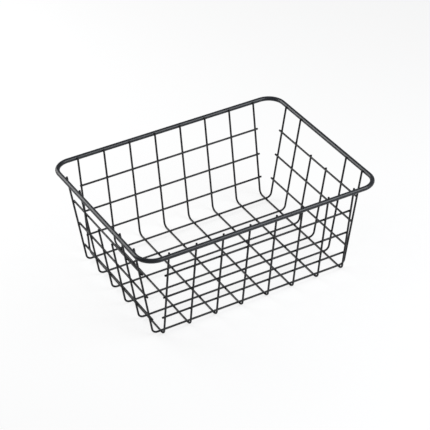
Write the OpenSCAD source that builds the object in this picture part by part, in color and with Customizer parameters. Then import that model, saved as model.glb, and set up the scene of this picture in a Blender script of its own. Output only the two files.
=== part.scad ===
// Wire locker basket: bent mesh wires and rails, spot-welded to each other and to a heavy rim rod.
// X runs along the basket, Y from its front to its back, and the ground is z = 0.
// The origin is on the ground, under the middle of the rim.

/* [Rim] */
// Length of the basket over the rim
rim_length = 453; // [400:1:520]
// Width of the basket over the rim
rim_width = 346.5; // [320:0.5:400]
// Height of the top of the rim above the ground
basket_height = 187.5; // [175:0.5:260]
// Diameter of the rim rod
rim_d = 8; // [5:0.1:10]
// Radius of the rim's corners, at the middle of the rod
rim_corner_r = 30.5; // [15:0.5:40]

/* [Mesh wires] */
// Diameter of the mesh wires and of the rails
wire_d = 3.5; // [2.5:0.1:4]
// Number of wires that run across the basket, front to back
cross_count = 8; // [6:1:8]
// Distance from one cross wire to the next
cross_pitch = 50; // [40:0.5:50]
// Number of wires that run along the basket, end to end
length_count = 6; // [4:2:6]
// Distance from one length wire to the next
length_pitch = 48.8; // [40:0.2:50]
// How many of the length wires, in the middle, end at the upper rail and leave the hand-holds free
handhold_count = 2; // [2:2:4]
// How far a leg's cut end passes its weld on the rim
rim_tip = 2.5; // [1:0.1:3]
// How far a hand-hold wire's cut end passes the upper rail
rail_tip = 1.8; // [1:0.1:3]

/* [Floor] */
// Length of the floor, between the corners that the bent length wires point to
floor_length = 375; // [365:1:400]
// Width of the floor, between the corners that the bent cross wires point to
floor_width = 275; // [265:1:300]
// Radius of the bends from floor to wall, at the middle of the wire
bend_r = 10; // [6:0.5:12]

/* [Rails on the long walls] */
// Distance down the wall from the rim to the upper rail
long_rail_drop = 50.5; // [30:0.5:60]
// Distance from the upper rail to the middle one
long_upper_step = 50.5; // [30:0.5:55]
// Distance from the middle rail to the lower one
long_lower_step = 47; // [30:0.5:50]
// How far a rail's cut ends pass the outermost wires that it is welded to
rail_overhang = 3.6; // [1:0.1:6]

/* [Rails on the short walls] */
// Distance down the wall from the rim to the upper rail, which is the height of the hand-holds
short_rail_drop = 49.8; // [40:0.2:60]
// Distance from the upper rail to the middle one
short_upper_step = 49; // [30:0.5:50]
// Distance from the middle rail to the lower one
short_lower_step = 49; // [30:0.5:50]
// How much nearer the rim the right wall's rails lie, and how much further the left wall's
short_rail_skew = 3; // [-4:0.5:4]

/* [Offsets as made] */
// How far the floor lies to the right of the rim's middle
floor_shift_x = -3.7; // [-4:0.1:4]
// How far the floor lies to the back of the rim's middle
floor_shift_y = 4.8; // [-6:0.1:6]
// How far the row of length wires lies to the back of the rim's middle
row_shift_y = -2.6; // [-4:0.1:4]

/* [Welds] */
// How deep two wires sink into each other where they are welded
weld_bite = 0.3; // [0.1:0.05:0.4]

/* [Hidden] */
$fn = 48;
coat_colour = "dimgray";

rim_x = (rim_length - rim_d) / 2;
rim_y = (rim_width - rim_d) / 2;
rim_z = basket_height - rim_d / 2;

// A sleeve joins a straight stretch of a mesh wire to a bend, and is a hair thicker than the wire
sleeve_half = 0.25;
sleeve_margin = 0.01;

// The cross wires lie on the ground, and the length wires lie on the cross wires
cross_z = wire_d / 2 + sleeve_margin;
length_z = cross_z + wire_d - weld_bite;

// Distances between the middles of two welded wires
rim_seat = (rim_d + wire_d) / 2 - weld_bite;
rail_seat = wire_d - weld_bite;

// A wall is [outward distance of its floor corner, height of its wires there, outward distance of the rim]
front_wall = [floor_width / 2 - floor_shift_y, cross_z, rim_y];
back_wall = [floor_width / 2 + floor_shift_y, cross_z, rim_y];
left_wall = [floor_length / 2 - floor_shift_x, length_z, rim_x];
right_wall = [floor_length / 2 + floor_shift_x, length_z, rim_x];

// Distances down the walls from the rim to the rails, upper rail first
long_drops = rail_drops(long_rail_drop, long_upper_step, long_lower_step);
right_drops = rail_drops(short_rail_drop - short_rail_skew, short_upper_step, short_lower_step);
left_drops = rail_drops(short_rail_drop + short_rail_skew, short_upper_step, short_lower_step);

// Half the length of the rails
long_rail_half = cross_pitch * (cross_count - 1) / 2 + rail_overhang;
short_rail_half = length_pitch * (length_count - 1) / 2 + rail_overhang;

// Rows of length wires, counted from the back
full_count = length_count - handhold_count;
full_rows = [for (k = [1 : full_count]) k <= full_count / 2 ? k : k + handhold_count];
handhold_rows = [for (k = [1 : handhold_count]) full_count / 2 + k];

CROSS_WIRES = numbered("cross_wire_", cross_count);
LENGTH_WIRES = numbered("length_wire_", full_count);
HANDHOLD_WIRES = numbered("handhold_wire_", handhold_count);
FRONT_RAILS = numbered("front_rail_", len(long_drops));
BACK_RAILS = numbered("back_rail_", len(long_drops));
LEFT_RAILS = numbered("left_rail_", len(left_drops));
RIGHT_RAILS = numbered("right_rail_", len(right_drops));

function numbered(stem, count) = [for (k = [1 : count]) str(stem, k)];
function rail_drops(first, upper_step, lower_step) =
    [first, first + upper_step, first + upper_step + lower_step];

// Place of a cross wire along X, and of a row of length wires along Y
function cross_place(k) = (k - (cross_count + 1) / 2) * cross_pitch;
function row_place(row) = row_shift_y + ((length_count + 1) / 2 - row) * length_pitch;

// A leg leans out from its floor corner until it passes inside the rim rod and just bites it.
// Its angle is measured from the floor, and its reach runs from the floor corner to the rim.
function corner_to_rim(wall) = [wall[2] - wall[0], rim_z - wall[1]];
function leg_angle(wall) =
    let (way = corner_to_rim(wall)) atan2(way[1], way[0]) + asin(rim_seat / norm(way));
function leg_reach(wall) = sqrt(pow(norm(corner_to_rim(wall)), 2) - pow(rim_seat, 2));

// Outward distance and height of a spot on a wall, a drop below the rim and an inset from the legs
function wall_spot(wall, drop, inset) =
    let (angle = leg_angle(wall), up = leg_reach(wall) - drop)
    [wall[0] + up * cos(angle) - inset * sin(angle), wall[1] + up * sin(angle) + inset * cos(angle)];

// A straight rod along X, with its middle at x = 0
module rod_x(d, half) {
    rotate([0, 90, 0])
        cylinder(d = d, h = 2 * half, center = true);
}

// A sleeve round a mesh wire along Z, where a bend begins
module sleeve() {
    cylinder(d = wire_d + 2 * sleeve_margin, h = 2 * sleeve_half, center = true);
}

// A wire's bend and leg on the +X side of the wall's floor corner
module bend_and_leg(wall, leg) {
    angle = leg_angle(wall);
    tangent = bend_r * tan(angle / 2);
    translate([wall[0] - tangent, 0, wall[1] + bend_r])
        rotate([90, 0, 0])
            rotate(-90)
                rotate_extrude(angle = angle)
                    translate([bend_r, 0])
                        circle(d = wire_d);
    translate([wall[0] - tangent, 0, wall[1]])
        rotate([0, 90, 0])
            sleeve();
    translate([wall[0], 0, wall[1]])
        rotate([0, 90 - angle, 0])
            translate([0, 0, tangent]) {
                sleeve();
                cylinder(d = wire_d, h = leg - tangent);
            }
}

// A wire bent to a U in the XZ plane: a floor stretch, and a leg up the wall on each side
module u_wire(plus_wall, plus_leg, minus_wall, minus_leg) {
    plus_end = plus_wall[0] - bend_r * tan(leg_angle(plus_wall) / 2);
    minus_end = minus_wall[0] - bend_r * tan(leg_angle(minus_wall) / 2);
    translate([(plus_end - minus_end) / 2, 0, plus_wall[1]])
        rod_x(wire_d, (plus_end + minus_end) / 2);
    bend_and_leg(plus_wall, plus_leg);
    rotate(180)
        bend_and_leg(minus_wall, minus_leg);
}

// One corner of the rim, turned from the corner at +X +Y
module rim_corner(sx, sy, turn) {
    translate([sx * (rim_x - rim_corner_r), sy * (rim_y - rim_corner_r), rim_z])
        rotate(turn)
            rotate_extrude(angle = 90)
                translate([rim_corner_r, 0])
                    circle(d = rim_d);
}

// The rim rod, bent to a rectangle with round corners and butt-welded into a ring
module rim() {
    color(coat_colour) {
        for (side = [-1, 1]) {
            translate([0, side * rim_y, rim_z])
                rod_x(rim_d, rim_x - rim_corner_r);
            translate([side * rim_x, 0, rim_z])
                rotate(90)
                    rod_x(rim_d, rim_y - rim_corner_r);
        }
        rim_corner(1, 1, 0);
        rim_corner(-1, 1, 90);
        rim_corner(-1, -1, 180);
        rim_corner(1, -1, 270);
    }
}

// A wire across the floor and up both long walls to the rim
module cross_wire(k) {
    color(coat_colour)
        translate([cross_place(k), 0, 0])
            rotate(90)
                u_wire(back_wall, leg_reach(back_wall) + rim_tip, front_wall, leg_reach(front_wall) + rim_tip);
}

// A wire along the floor and up both short walls to the rim
module length_wire(row) {
    color(coat_colour)
        translate([0, row_place(row), 0])
            u_wire(right_wall, leg_reach(right_wall) + rim_tip, left_wall, leg_reach(left_wall) + rim_tip);
}

// A wire along the floor whose legs end at the upper rail of each short wall
module handhold_wire(row) {
    color(coat_colour)
        translate([0, row_place(row), 0])
            u_wire(right_wall, leg_reach(right_wall) - right_drops[0] + rail_tip,
                left_wall, leg_reach(left_wall) - left_drops[0] + rail_tip);
}

// A rail on the inner side of a long wall, at the front (side -1) or at the back (side 1)
module long_rail(wall, side, drop) {
    spot = wall_spot(wall, drop, rail_seat);
    color(coat_colour)
        translate([0, side * spot[0], spot[1]])
            rod_x(wire_d, long_rail_half);
}

// A rail on the inner side of a short wall, at the left (side -1) or at the right (side 1)
module short_rail(wall, side, drop) {
    spot = wall_spot(wall, drop, rail_seat);
    color(coat_colour)
        translate([side * spot[0], row_shift_y, spot[1]])
            rotate(90)
                rod_x(wire_d, short_rail_half);
}

rim();
for (k = [0 : cross_count - 1])
    cross_wire(k + 1);
for (k = [0 : full_count - 1])
    length_wire(full_rows[k]);
for (k = [0 : handhold_count - 1])
    handhold_wire(handhold_rows[k]);
for (k = [0 : len(long_drops) - 1])
    long_rail(front_wall, -1, long_drops[k]);
for (k = [0 : len(long_drops) - 1])
    long_rail(back_wall, 1, long_drops[k]);
for (k = [0 : len(left_drops) - 1])
    short_rail(left_wall, -1, left_drops[k]);
for (k = [0 : len(right_drops) - 1])
    short_rail(right_wall, 1, right_drops[k]);
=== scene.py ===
import math
import random

import bmesh
import bpy
from mathutils import Matrix, Vector


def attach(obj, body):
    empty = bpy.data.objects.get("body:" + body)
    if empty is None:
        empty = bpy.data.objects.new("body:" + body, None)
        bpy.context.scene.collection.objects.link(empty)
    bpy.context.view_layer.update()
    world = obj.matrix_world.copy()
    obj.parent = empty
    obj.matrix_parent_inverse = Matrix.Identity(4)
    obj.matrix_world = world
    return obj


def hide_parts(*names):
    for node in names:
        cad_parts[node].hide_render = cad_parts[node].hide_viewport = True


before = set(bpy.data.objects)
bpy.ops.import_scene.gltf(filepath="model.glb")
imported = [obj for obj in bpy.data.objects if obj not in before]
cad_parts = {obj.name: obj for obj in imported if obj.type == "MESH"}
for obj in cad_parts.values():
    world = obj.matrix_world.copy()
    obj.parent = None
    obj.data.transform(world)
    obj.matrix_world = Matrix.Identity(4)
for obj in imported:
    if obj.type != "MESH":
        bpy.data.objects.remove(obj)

# Sizes of the basket in metres, the same as the driving dimensions of the part
MM = 0.001
RIM_LENGTH = 453 * MM
RIM_WIDTH = 346.5 * MM
BASKET_HEIGHT = 187.5 * MM
RIM_D = 8 * MM
RIM_CORNER_R = 30.5 * MM
WIRE_D = 3.5 * MM
CROSS_COUNT = 8
CROSS_PITCH = 50 * MM
LENGTH_COUNT = 6
LENGTH_PITCH = 48.8 * MM
HANDHOLD_ROWS = (3, 4)
RIM_TIP = 2.5 * MM
RAIL_TIP = 1.8 * MM
FLOOR_LENGTH = 375 * MM
FLOOR_WIDTH = 275 * MM
BEND_R = 10 * MM
LONG_DROPS = (50.5 * MM, 101 * MM, 148 * MM)
SHORT_DROPS = (49.8 * MM, 98.8 * MM, 147.8 * MM)
RAIL_OVERHANG = 3.6 * MM
RAIL_SKEW = 3 * MM
FLOOR_SHIFT_X = -3.7 * MM
FLOOR_SHIFT_Y = 4.8 * MM
ROW_SHIFT_Y = -2.6 * MM
WELD_BITE = 0.3 * MM
GROUND_CLEARANCE = 0.01 * MM

# Places that follow from the sizes, at the middle of a wire or rod
RIM_X = (RIM_LENGTH - RIM_D) / 2
RIM_Y = (RIM_WIDTH - RIM_D) / 2
RIM_Z = BASKET_HEIGHT - RIM_D / 2
CROSS_Z = WIRE_D / 2 + GROUND_CLEARANCE
LENGTH_Z = CROSS_Z + WIRE_D - WELD_BITE
RIM_SEAT = (RIM_D + WIRE_D) / 2 - WELD_BITE
RAIL_SEAT = WIRE_D - WELD_BITE
LONG_RAIL_HALF = CROSS_PITCH * (CROSS_COUNT - 1) / 2 + RAIL_OVERHANG
SHORT_RAIL_HALF = LENGTH_PITCH * (LENGTH_COUNT - 1) / 2 + RAIL_OVERHANG

# Cross wires are counted from the left, and rows of length wires from the back
CROSSES = range(1, CROSS_COUNT + 1)
ROWS = range(1, LENGTH_COUNT + 1)
FULL_ROWS = [row for row in ROWS if row not in HANDHOLD_ROWS]

# Fineness of the swept rods, and the rounding of their cut ends
WIRE_SIDES = 20
RIM_SIDES = 40
BEND_STEPS = 14
CORNER_STEPS = 24
CUT_ROUNDING = 0.35 * MM
CUT_STEPS = 4

# The rim's butt weld: its place, how far and which way one end misses the other, and over what
# length that end bends back. The rim has extra rings at these distances from the weld.
BUTT_X = 48 * MM
BUTT_MISS = 0.45 * MM
BUTT_MISS_WAY = Vector((0, 0.6, -0.8))
BUTT_BLEND = 16 * MM
BUTT_RINGS = (0.5 * MM, 2 * MM, 5 * MM, 10 * MM, 16 * MM)

# The bead of the butt weld, and the pit in it, as angles from the inner side up
BEAD_LENGTH = 1.5 * MM
BEAD_BULGE = 0.16 * MM
BEAD_UNEVEN = (0.7, 1.2)
BEAD_SINK = 0.05 * MM
BEAD_RINGS = 7
PIT_MIDDLE = math.radians(60)
PIT_HALF = math.radians(34)
PIT_DEPTH = 0.35 * MM

# Half sizes of a weld's fillet, across the joint and along the way from one wire to the other,
# how much they vary, and their fineness
FILLET_ACROSS = 2.05 * MM
FILLET_DEEP = 1.1 * MM
FILLET_UNEVEN = (0.9, 1.1)
FILLET_SIDES = 14
FILLET_RINGS = 8

# Powder coats: the two greys of the mottle, the least and most roughness, and the strength of
# the orange peel
WIRE_COAT = ((0.010, 0.0105, 0.012), (0.016, 0.0165, 0.019), 0.3, 0.42, 0.25)
# The rim's two greys are lighter than the wires' greys to paint in the rim's brighter highlight; it is the
# same powder coat.
RIM_COAT_PAINTED_HIGHLIGHT = ((0.026, 0.0285, 0.033), (0.040, 0.044, 0.051), 0.26, 0.36, 0.25)
WELD_COAT = ((0.008, 0.0082, 0.009), (0.015, 0.0155, 0.017), 0.4, 0.55, 0.5)
MOTTLE_SCALE = 90
MOTTLE_RANGE = (0.35, 0.7)
PEEL_SCALE = 1500
PEEL_HEIGHT = 0.05 * MM
COAT_IOR = 1.5

# Where the photograph was taken from, as a calibrated camera
CAMERA_PLACE = Vector((-1.21606, -2.20593, 1.83401))
CAMERA_TURN = (55.448, 1.271, -29.751)
CAMERA_LENS = 149.15
SENSOR = 36
CAMERA_REACH = 20

# Studio light: two equal softboxes, and the sky's level as a light and to the camera
RIGHT_SOFTBOX = (0.45, -0.6, 0.66)
LEFT_SOFTBOX = (-0.45, 0.72, 0.53)
COOL_WHITE = (0.95, 0.97, 1)
PURE_WHITE = (1, 1, 1)
SOFTBOX_DISTANCE = 1.6
SOFTBOX_SIZE = 1.1
SOFTBOX_POWER = 16
SKY_LIGHT = 0.12
SKY_SEEN = 1

# The floor's grey as it lights the basket, and its grey and glow as the camera sees it
FLOOR_SIZE = 8
FLOOR_GREY = 0.82
FLOOR_SEEN_GREY = 0.3
FLOOR_GLOW = 0.77


class Wall:
    """A sloping wall: where its legs leave the floor, how they lean, and how far up they reach."""

    def __init__(self, corner, low, edge):
        self.corner = corner
        self.low = low
        run = edge - corner
        rise = RIM_Z - low
        way = math.hypot(run, rise)
        self.angle = math.atan2(rise, run) + math.asin(RIM_SEAT / way)
        self.reach = math.sqrt(way ** 2 - RIM_SEAT ** 2)

    def spot(self, up, inset=0.0):
        """Outward distance and height of a point, up the leg from the floor corner and inset from it."""
        c, s = math.cos(self.angle), math.sin(self.angle)
        return self.corner + up * c - inset * s, self.low + up * s + inset * c


FRONT = Wall(FLOOR_WIDTH / 2 - FLOOR_SHIFT_Y, CROSS_Z, RIM_Y)
BACK = Wall(FLOOR_WIDTH / 2 + FLOOR_SHIFT_Y, CROSS_Z, RIM_Y)
LEFT = Wall(FLOOR_LENGTH / 2 - FLOOR_SHIFT_X, LENGTH_Z, RIM_X)
RIGHT = Wall(FLOOR_LENGTH / 2 + FLOOR_SHIFT_X, LENGTH_Z, RIM_X)
LEFT_DROPS = [drop + RAIL_SKEW for drop in SHORT_DROPS]
RIGHT_DROPS = [drop - RAIL_SKEW for drop in SHORT_DROPS]


def cross_place(k):
    return (k - (CROSS_COUNT + 1) / 2) * CROSS_PITCH


def row_place(row):
    return ROW_SHIFT_Y + ((LENGTH_COUNT + 1) / 2 - row) * LENGTH_PITCH


def half_u(wall, leg):
    """Points of one side of a U wire, from its bend's start to its cut end, as (outward, height)."""
    tangent = BEND_R * math.tan(wall.angle / 2)
    centre = wall.corner - tangent
    points = []
    for i in range(BEND_STEPS + 1):
        turn = wall.angle * i / BEND_STEPS
        points.append((centre + BEND_R * math.sin(turn), wall.low + BEND_R * (1 - math.cos(turn))))
    points.append(wall.spot(leg))
    return points


def u_points(plus, plus_leg, minus, minus_leg):
    """Points of a whole U wire, from its cut end on the minus side to the one on the plus side."""
    minus_side = [(-u, z) for u, z in half_u(minus, minus_leg)]
    return minus_side[::-1] + half_u(plus, plus_leg)


def new_object(name, bm, material):
    """A visible piece from this mesh. It rides on the basket's only body."""
    mesh = bpy.data.meshes.new(name)
    bm.to_mesh(mesh)
    bm.free()
    mesh.materials.append(material)
    obj = bpy.data.objects.new(name, mesh)
    bpy.context.scene.collection.objects.link(obj)
    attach(obj, "root")
    return obj


def end_profile():
    """Steps along a cut end: how far before the end, and how much thinner, each ring is."""
    steps = []
    for i in range(CUT_STEPS + 1):
        turn = math.pi / 2 * i / CUT_STEPS
        steps.append((CUT_ROUNDING * (1 - math.sin(turn)), CUT_ROUNDING * (1 - math.cos(turn))))
    return steps


def tube_rings(points, radius):
    """Centres, directions and radii of the rings of a rod with slightly rounded cut ends."""
    last = len(points) - 1
    directions = []
    for i in range(last + 1):
        before = (points[i] - points[i - 1]).normalized() if i > 0 else None
        after = (points[i + 1] - points[i]).normalized() if i < last else None
        directions.append(((before or after) + (after or before)).normalized())
    rings = []
    for back, thinner in reversed(end_profile()):
        rings.append((points[0] + directions[0] * back, directions[0], radius - thinner))
    for i in range(1, last):
        rings.append((points[i], directions[i], radius))
    for back, thinner in end_profile():
        rings.append((points[last] - directions[last] * back, directions[last], radius - thinner))
    return rings


def join_loops(bm, loops):
    """Smooth faces between each loop of vertices and the next, and a cap on both ends."""
    for a, b in zip(loops, loops[1:]):
        for i in range(len(a)):
            j = (i + 1) % len(a)
            face = bm.faces.new((a[i], a[j], b[j], b[i]))
            face.smooth = True
    bm.faces.new(loops[0])
    bm.faces.new(loops[-1][::-1])
    bmesh.ops.recalc_face_normals(bm, faces=bm.faces)


def skin(bm, rings, normal, sides):
    """Turns rings round a path in the plane with this normal into a closed mesh."""
    loops = []
    for centre, direction, radius in rings:
        across = normal.cross(direction)
        loop = []
        for i in range(sides):
            turn = 2 * math.pi * i / sides
            out = math.cos(turn) * across + math.sin(turn) * normal
            loop.append(bm.verts.new(centre + radius * out))
        loops.append(loop)
    join_loops(bm, loops)


def rod(node, points, radius, normal, sides, material):
    """The coated rod that takes the place of this node of the part."""
    bm = bmesh.new()
    skin(bm, tube_rings(points, radius), normal, sides)
    obj = new_object("coated_" + node, bm, material)
    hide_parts(node)


def wire(node, points, normal, material):
    rod(node, points, WIRE_D / 2, normal, WIRE_SIDES, material)


def cross_wire(k, material):
    """A U wire across the floor and up both long walls to the rim."""
    x = cross_place(k)
    flat = u_points(BACK, BACK.reach + RIM_TIP, FRONT, FRONT.reach + RIM_TIP)
    points = [Vector((x, u, z)) for u, z in flat]
    wire(f"cross_wire_{k}", points, Vector((1, 0, 0)), material)


def row_wire(node, row, right_leg, left_leg, material):
    """A U wire along the floor, with legs of these lengths on the right and left walls."""
    y = row_place(row)
    points = [Vector((u, y, z)) for u, z in u_points(RIGHT, right_leg, LEFT, left_leg)]
    wire(node, points, Vector((0, 1, 0)), material)


def length_wire(k, row, material):
    """A row's wire that reaches the rim."""
    row_wire(f"length_wire_{k}", row, RIGHT.reach + RIM_TIP, LEFT.reach + RIM_TIP, material)


def handhold_wire(k, row, material):
    """A row's wire that ends at the upper rails, below the hand-holds."""
    right_leg = RIGHT.reach - RIGHT_DROPS[0] + RAIL_TIP
    left_leg = LEFT.reach - LEFT_DROPS[0] + RAIL_TIP
    row_wire(f"handhold_wire_{k}", row, right_leg, left_leg, material)


def long_rail(node, wall, side, drop, material):
    """A rail inside the front (side -1) or back (side 1) wall."""
    out, z = wall.spot(wall.reach - drop, RAIL_SEAT)
    points = [Vector((x, side * out, z)) for x in (-LONG_RAIL_HALF, 0, LONG_RAIL_HALF)]
    wire(node, points, Vector((0, 0, 1)), material)


def short_rail(node, wall, side, drop, material):
    """A rail inside the left (side -1) or right (side 1) wall."""
    out, z = wall.spot(wall.reach - drop, RAIL_SEAT)
    places = (-SHORT_RAIL_HALF, 0, SHORT_RAIL_HALF)
    points = [Vector((side * out, ROW_SHIFT_Y + y, z)) for y in places]
    wire(node, points, Vector((0, 0, 1)), material)


def rim_line():
    """Points of the rim's centre line, from its butt weld in the front side round and back to the weld."""
    line = [Vector((BUTT_X, -RIM_Y, RIM_Z))]
    for step in BUTT_RINGS:
        line.append(Vector((BUTT_X + step, -RIM_Y, RIM_Z)))
    for sx, sy, start in ((1, -1, -90), (1, 1, 0), (-1, 1, 90), (-1, -1, 180)):
        centre = Vector((sx * (RIM_X - RIM_CORNER_R), sy * (RIM_Y - RIM_CORNER_R), RIM_Z))
        for i in range(CORNER_STEPS + 1):
            turn = math.radians(start + 90 * i / CORNER_STEPS)
            line.append(centre + RIM_CORNER_R * Vector((math.cos(turn), math.sin(turn), 0)))
    for step in (*reversed(BUTT_RINGS), 0):
        line.append(Vector((BUTT_X - step, -RIM_Y, RIM_Z)))
    return line


def rim(material):
    """The rim rod. The end that starts its line sits a little low and inward at the butt weld."""
    points = rim_line()
    for point in points[:-1]:
        past = point.x - BUTT_X
        if point.y < 0 and 0 <= past <= BUTT_BLEND:
            share = 0.5 + 0.5 * math.cos(math.pi * past / BUTT_BLEND)
            point += BUTT_MISS_WAY * BUTT_MISS * share
    rod("rim", points, RIM_D / 2, Vector((0, 0, 1)), RIM_SIDES, material)


def butt_weld(material):
    """A thin uneven bead round the rim where its ends meet, open in a pit on the upper inner side."""
    bm = bmesh.new()
    rng = random.Random(7)
    loops = []
    for i in range(BEAD_RINGS):
        share = i / (BEAD_RINGS - 1)
        x = BUTT_X + (share - 0.5) * BEAD_LENGTH
        loop = []
        for j in range(RIM_SIDES):
            turn = 2 * math.pi * j / RIM_SIDES
            bulge = BEAD_BULGE * math.sin(math.pi * share) * rng.uniform(*BEAD_UNEVEN)
            from_pit = abs((turn - PIT_MIDDLE + math.pi) % (2 * math.pi) - math.pi)
            if from_pit < PIT_HALF:
                bulge -= PIT_DEPTH
            radius = RIM_D / 2 - BEAD_SINK + bulge
            y = -RIM_Y + radius * math.cos(turn)
            z = RIM_Z + radius * math.sin(turn)
            loop.append(bm.verts.new((x, y, z)))
        loops.append(loop)
    join_loops(bm, loops)
    new_object("rim_butt_weld", bm, material)


def fillet(bm, rng, spot, normal):
    """A flattened bead between two crossing wires, with its short axis along normal."""
    turn = normal.to_track_quat("Z", "Y").to_matrix().to_4x4()
    grow = rng.uniform(*FILLET_UNEVEN)
    size = Matrix.Diagonal((FILLET_ACROSS * grow, FILLET_ACROSS * grow, FILLET_DEEP * grow, 1))
    made = bmesh.ops.create_uvsphere(
        bm, u_segments=FILLET_SIDES, v_segments=FILLET_RINGS, radius=1,
        matrix=Matrix.Translation(spot) @ turn @ size)
    for vert in made["verts"]:
        for face in vert.link_faces:
            face.smooth = True


def fillets(name, joints, material):
    """One piece with the fillets of all these joints, each a spot and the way across it."""
    bm = bmesh.new()
    rng = random.Random(len(name))
    for spot, normal in joints:
        fillet(bm, rng, spot, normal)
    new_object(name, bm, material)


def way_between(start, end):
    return (end - start).normalized()


def wall_joints(wall, place, drops, places):
    """Welds of one wall's rails: the joint lies half way from the leg's middle to the rail's."""
    joints = []
    for along in places:
        for drop in drops:
            spot = place(along, *wall.spot(wall.reach - drop, RAIL_SEAT / 2))
            rail = place(along, *wall.spot(wall.reach - drop, RAIL_SEAT))
            joints.append((spot, way_between(spot, rail)))
    return joints


def rim_joints(wall, place, places):
    """Welds of one wall's legs on the rim, just inside the rod."""
    joints = []
    for along in places:
        spot = place(along, *wall.spot(wall.reach, -WIRE_D / 2 + WELD_BITE / 2))
        leg = place(along, *wall.spot(wall.reach))
        joints.append((spot, way_between(leg, spot)))
    return joints


def welds(material):
    """The fillets of every place where two wires cross, or a leg meets the rim."""
    crosses = [cross_place(k) for k in CROSSES]
    rows = [row_place(row) for row in ROWS]
    full_rows = [row_place(row) for row in FULL_ROWS]
    middle = (CROSS_Z + LENGTH_Z) / 2
    floor = [(Vector((x, y, middle)), Vector((0, 0, 1))) for x in crosses for y in rows]
    sides = (
        (FRONT, lambda a, out, z: Vector((a, -out, z)), LONG_DROPS, crosses, crosses),
        (BACK, lambda a, out, z: Vector((a, out, z)), LONG_DROPS, crosses, crosses),
        (LEFT, lambda a, out, z: Vector((-out, a, z)), LEFT_DROPS, rows, full_rows),
        (RIGHT, lambda a, out, z: Vector((out, a, z)), RIGHT_DROPS, rows, full_rows),
    )
    rails = []
    rims = []
    for wall, place, drops, rail_places, rim_places in sides:
        rails += wall_joints(wall, place, drops, rail_places)
        rims += rim_joints(wall, place, rim_places)
    fillets("floor_welds", floor, material)
    fillets("rail_welds", rails, material)
    fillets("rim_welds", rims, material)


def shader_node(tree, kind, **values):
    """A shader node with these inputs. An underscore stands for a space in an input's name."""
    made = tree.nodes.new(kind)
    for key, value in values.items():
        made.inputs[key.replace("_", " ")].default_value = value
    return made


def coat(name, dark, light, smooth, rough, peel):
    """Semi-gloss powder coat: a faint mottle of two greys, uneven gloss and a fine orange peel."""
    material = bpy.data.materials.new(name)
    material.use_nodes = True
    tree = material.node_tree
    shader = tree.nodes["Principled BSDF"]
    place = tree.nodes.new("ShaderNodeTexCoord")
    mottle = shader_node(tree, "ShaderNodeTexNoise", Scale=MOTTLE_SCALE, Detail=5, Roughness=0.6)
    grain = shader_node(tree, "ShaderNodeTexNoise", Scale=PEEL_SCALE, Detail=3, Roughness=0.5)
    tree.links.new(place.outputs["Object"], mottle.inputs["Vector"])
    tree.links.new(place.outputs["Object"], grain.inputs["Vector"])
    colour = tree.nodes.new("ShaderNodeValToRGB")
    for element, position, grey in zip(colour.color_ramp.elements, MOTTLE_RANGE, (dark, light)):
        element.position = position
        element.color = (*grey, 1)
    tree.links.new(mottle.outputs["Fac"], colour.inputs["Fac"])
    tree.links.new(colour.outputs["Color"], shader.inputs["Base Color"])
    gloss = shader_node(tree, "ShaderNodeMapRange", To_Min=smooth, To_Max=rough)
    tree.links.new(mottle.outputs["Fac"], gloss.inputs["Value"])
    tree.links.new(gloss.outputs["Result"], shader.inputs["Roughness"])
    bump = shader_node(tree, "ShaderNodeBump", Strength=peel, Distance=PEEL_HEIGHT)
    tree.links.new(grain.outputs["Fac"], bump.inputs["Height"])
    tree.links.new(bump.outputs["Normal"], shader.inputs["Normal"])
    shader.inputs["IOR"].default_value = COAT_IOR
    return material


def camera():
    data = bpy.data.cameras.new("camera")
    data.lens = CAMERA_LENS
    data.sensor_width = SENSOR
    data.sensor_fit = "HORIZONTAL"
    data.clip_end = CAMERA_REACH
    obj = bpy.data.objects.new("camera", data)
    obj.location = CAMERA_PLACE
    obj.rotation_euler = [math.radians(a) for a in CAMERA_TURN]
    bpy.context.scene.collection.objects.link(obj)
    bpy.context.scene.camera = obj


def softbox(name, direction, tint):
    """A square area lamp that looks at the basket's middle from this direction."""
    data = bpy.data.lights.new(name, "AREA")
    data.shape = "SQUARE"
    data.size = SOFTBOX_SIZE
    data.energy = SOFTBOX_POWER
    data.color = tint
    obj = bpy.data.objects.new(name, data)
    middle = Vector((0, 0, BASKET_HEIGHT / 2))
    away = Vector(direction).normalized()
    obj.location = middle + away * SOFTBOX_DISTANCE
    obj.rotation_euler = away.to_track_quat("Z", "Y").to_euler()
    bpy.context.scene.collection.objects.link(obj)


def grey_diffuse(tree, grey):
    return shader_node(tree, "ShaderNodeBsdfDiffuse", Color=(grey, grey, grey, 1))


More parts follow.
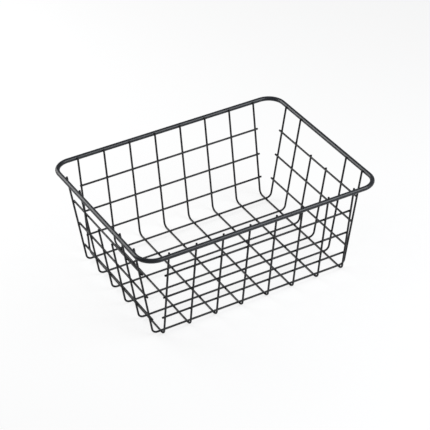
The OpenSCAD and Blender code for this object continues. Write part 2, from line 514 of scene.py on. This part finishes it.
def floor_material():
    """Plain floor: white with a soft shadow to the camera, and a pale floor as it lights the basket."""
    material = bpy.data.materials.new("pale_floor")
    material.use_nodes = True
    tree = material.node_tree
    tree.nodes.remove(tree.nodes["Principled BSDF"])
    pale = grey_diffuse(tree, FLOOR_GREY)
    shaded = grey_diffuse(tree, FLOOR_SEEN_GREY)
    white = shader_node(tree, "ShaderNodeEmission", Strength=FLOOR_GLOW)
    seen = tree.nodes.new("ShaderNodeAddShader")
    either = tree.nodes.new("ShaderNodeMixShader")
    ray = tree.nodes.new("ShaderNodeLightPath")
    tree.links.new(shaded.outputs[0], seen.inputs[0])
    tree.links.new(white.outputs[0], seen.inputs[1])
    tree.links.new(ray.outputs["Is Camera Ray"], either.inputs["Fac"])
    tree.links.new(pale.outputs[0], either.inputs[1])
    tree.links.new(seen.outputs[0], either.inputs[2])
    tree.links.new(either.outputs[0], tree.nodes["Material Output"].inputs["Surface"])
    return material


def sky():
    """A white surround for the camera, which gives only a faint light."""
    world = bpy.data.worlds.new("studio")
    world.use_nodes = True
    tree = world.node_tree
    background = tree.nodes["Background"]
    background.inputs["Color"].default_value = (*PURE_WHITE, 1)
    ray = tree.nodes.new("ShaderNodeLightPath")
    level = shader_node(tree, "ShaderNodeMapRange", To_Min=SKY_LIGHT, To_Max=SKY_SEEN)
    tree.links.new(ray.outputs["Is Camera Ray"], level.inputs["Value"])
    tree.links.new(level.outputs["Result"], background.inputs["Strength"])
    bpy.context.scene.world = world


def studio():
    bpy.ops.mesh.primitive_plane_add(size=FLOOR_SIZE, location=(0, 0, 0))
    floor = bpy.context.object
    floor.name = "floor"
    floor.data.materials.append(floor_material())
    softbox("right_softbox", RIGHT_SOFTBOX, COOL_WHITE)
    softbox("left_softbox", LEFT_SOFTBOX, PURE_WHITE)
    sky()


def basket():
    wire_coat = coat("powder_coat", *WIRE_COAT)
    # The rim's material is the wires' powder coat in lighter greys, a painted highlight along the rim.
    rim_coat_painted_highlight = coat("rim_coat_painted_highlight", *RIM_COAT_PAINTED_HIGHLIGHT)
    weld_coat = coat("weld_coat", *WELD_COAT)
    for k in CROSSES:
        cross_wire(k, wire_coat)
    for k, row in enumerate(FULL_ROWS, 1):
        length_wire(k, row, wire_coat)
    for k, row in enumerate(HANDHOLD_ROWS, 1):
        handhold_wire(k, row, wire_coat)
    for k, drops in enumerate(zip(LONG_DROPS, LEFT_DROPS, RIGHT_DROPS), 1):
        long_rail(f"front_rail_{k}", FRONT, -1, drops[0], wire_coat)
        long_rail(f"back_rail_{k}", BACK, 1, drops[0], wire_coat)
        short_rail(f"left_rail_{k}", LEFT, -1, drops[1], wire_coat)
        short_rail(f"right_rail_{k}", RIGHT, 1, drops[2], wire_coat)
    rim(rim_coat_painted_highlight)
    butt_weld(weld_coat)
    welds(weld_coat)


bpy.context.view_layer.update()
camera()
basket()
studio()
bpy.context.scene.view_settings.view_transform = "Standard"
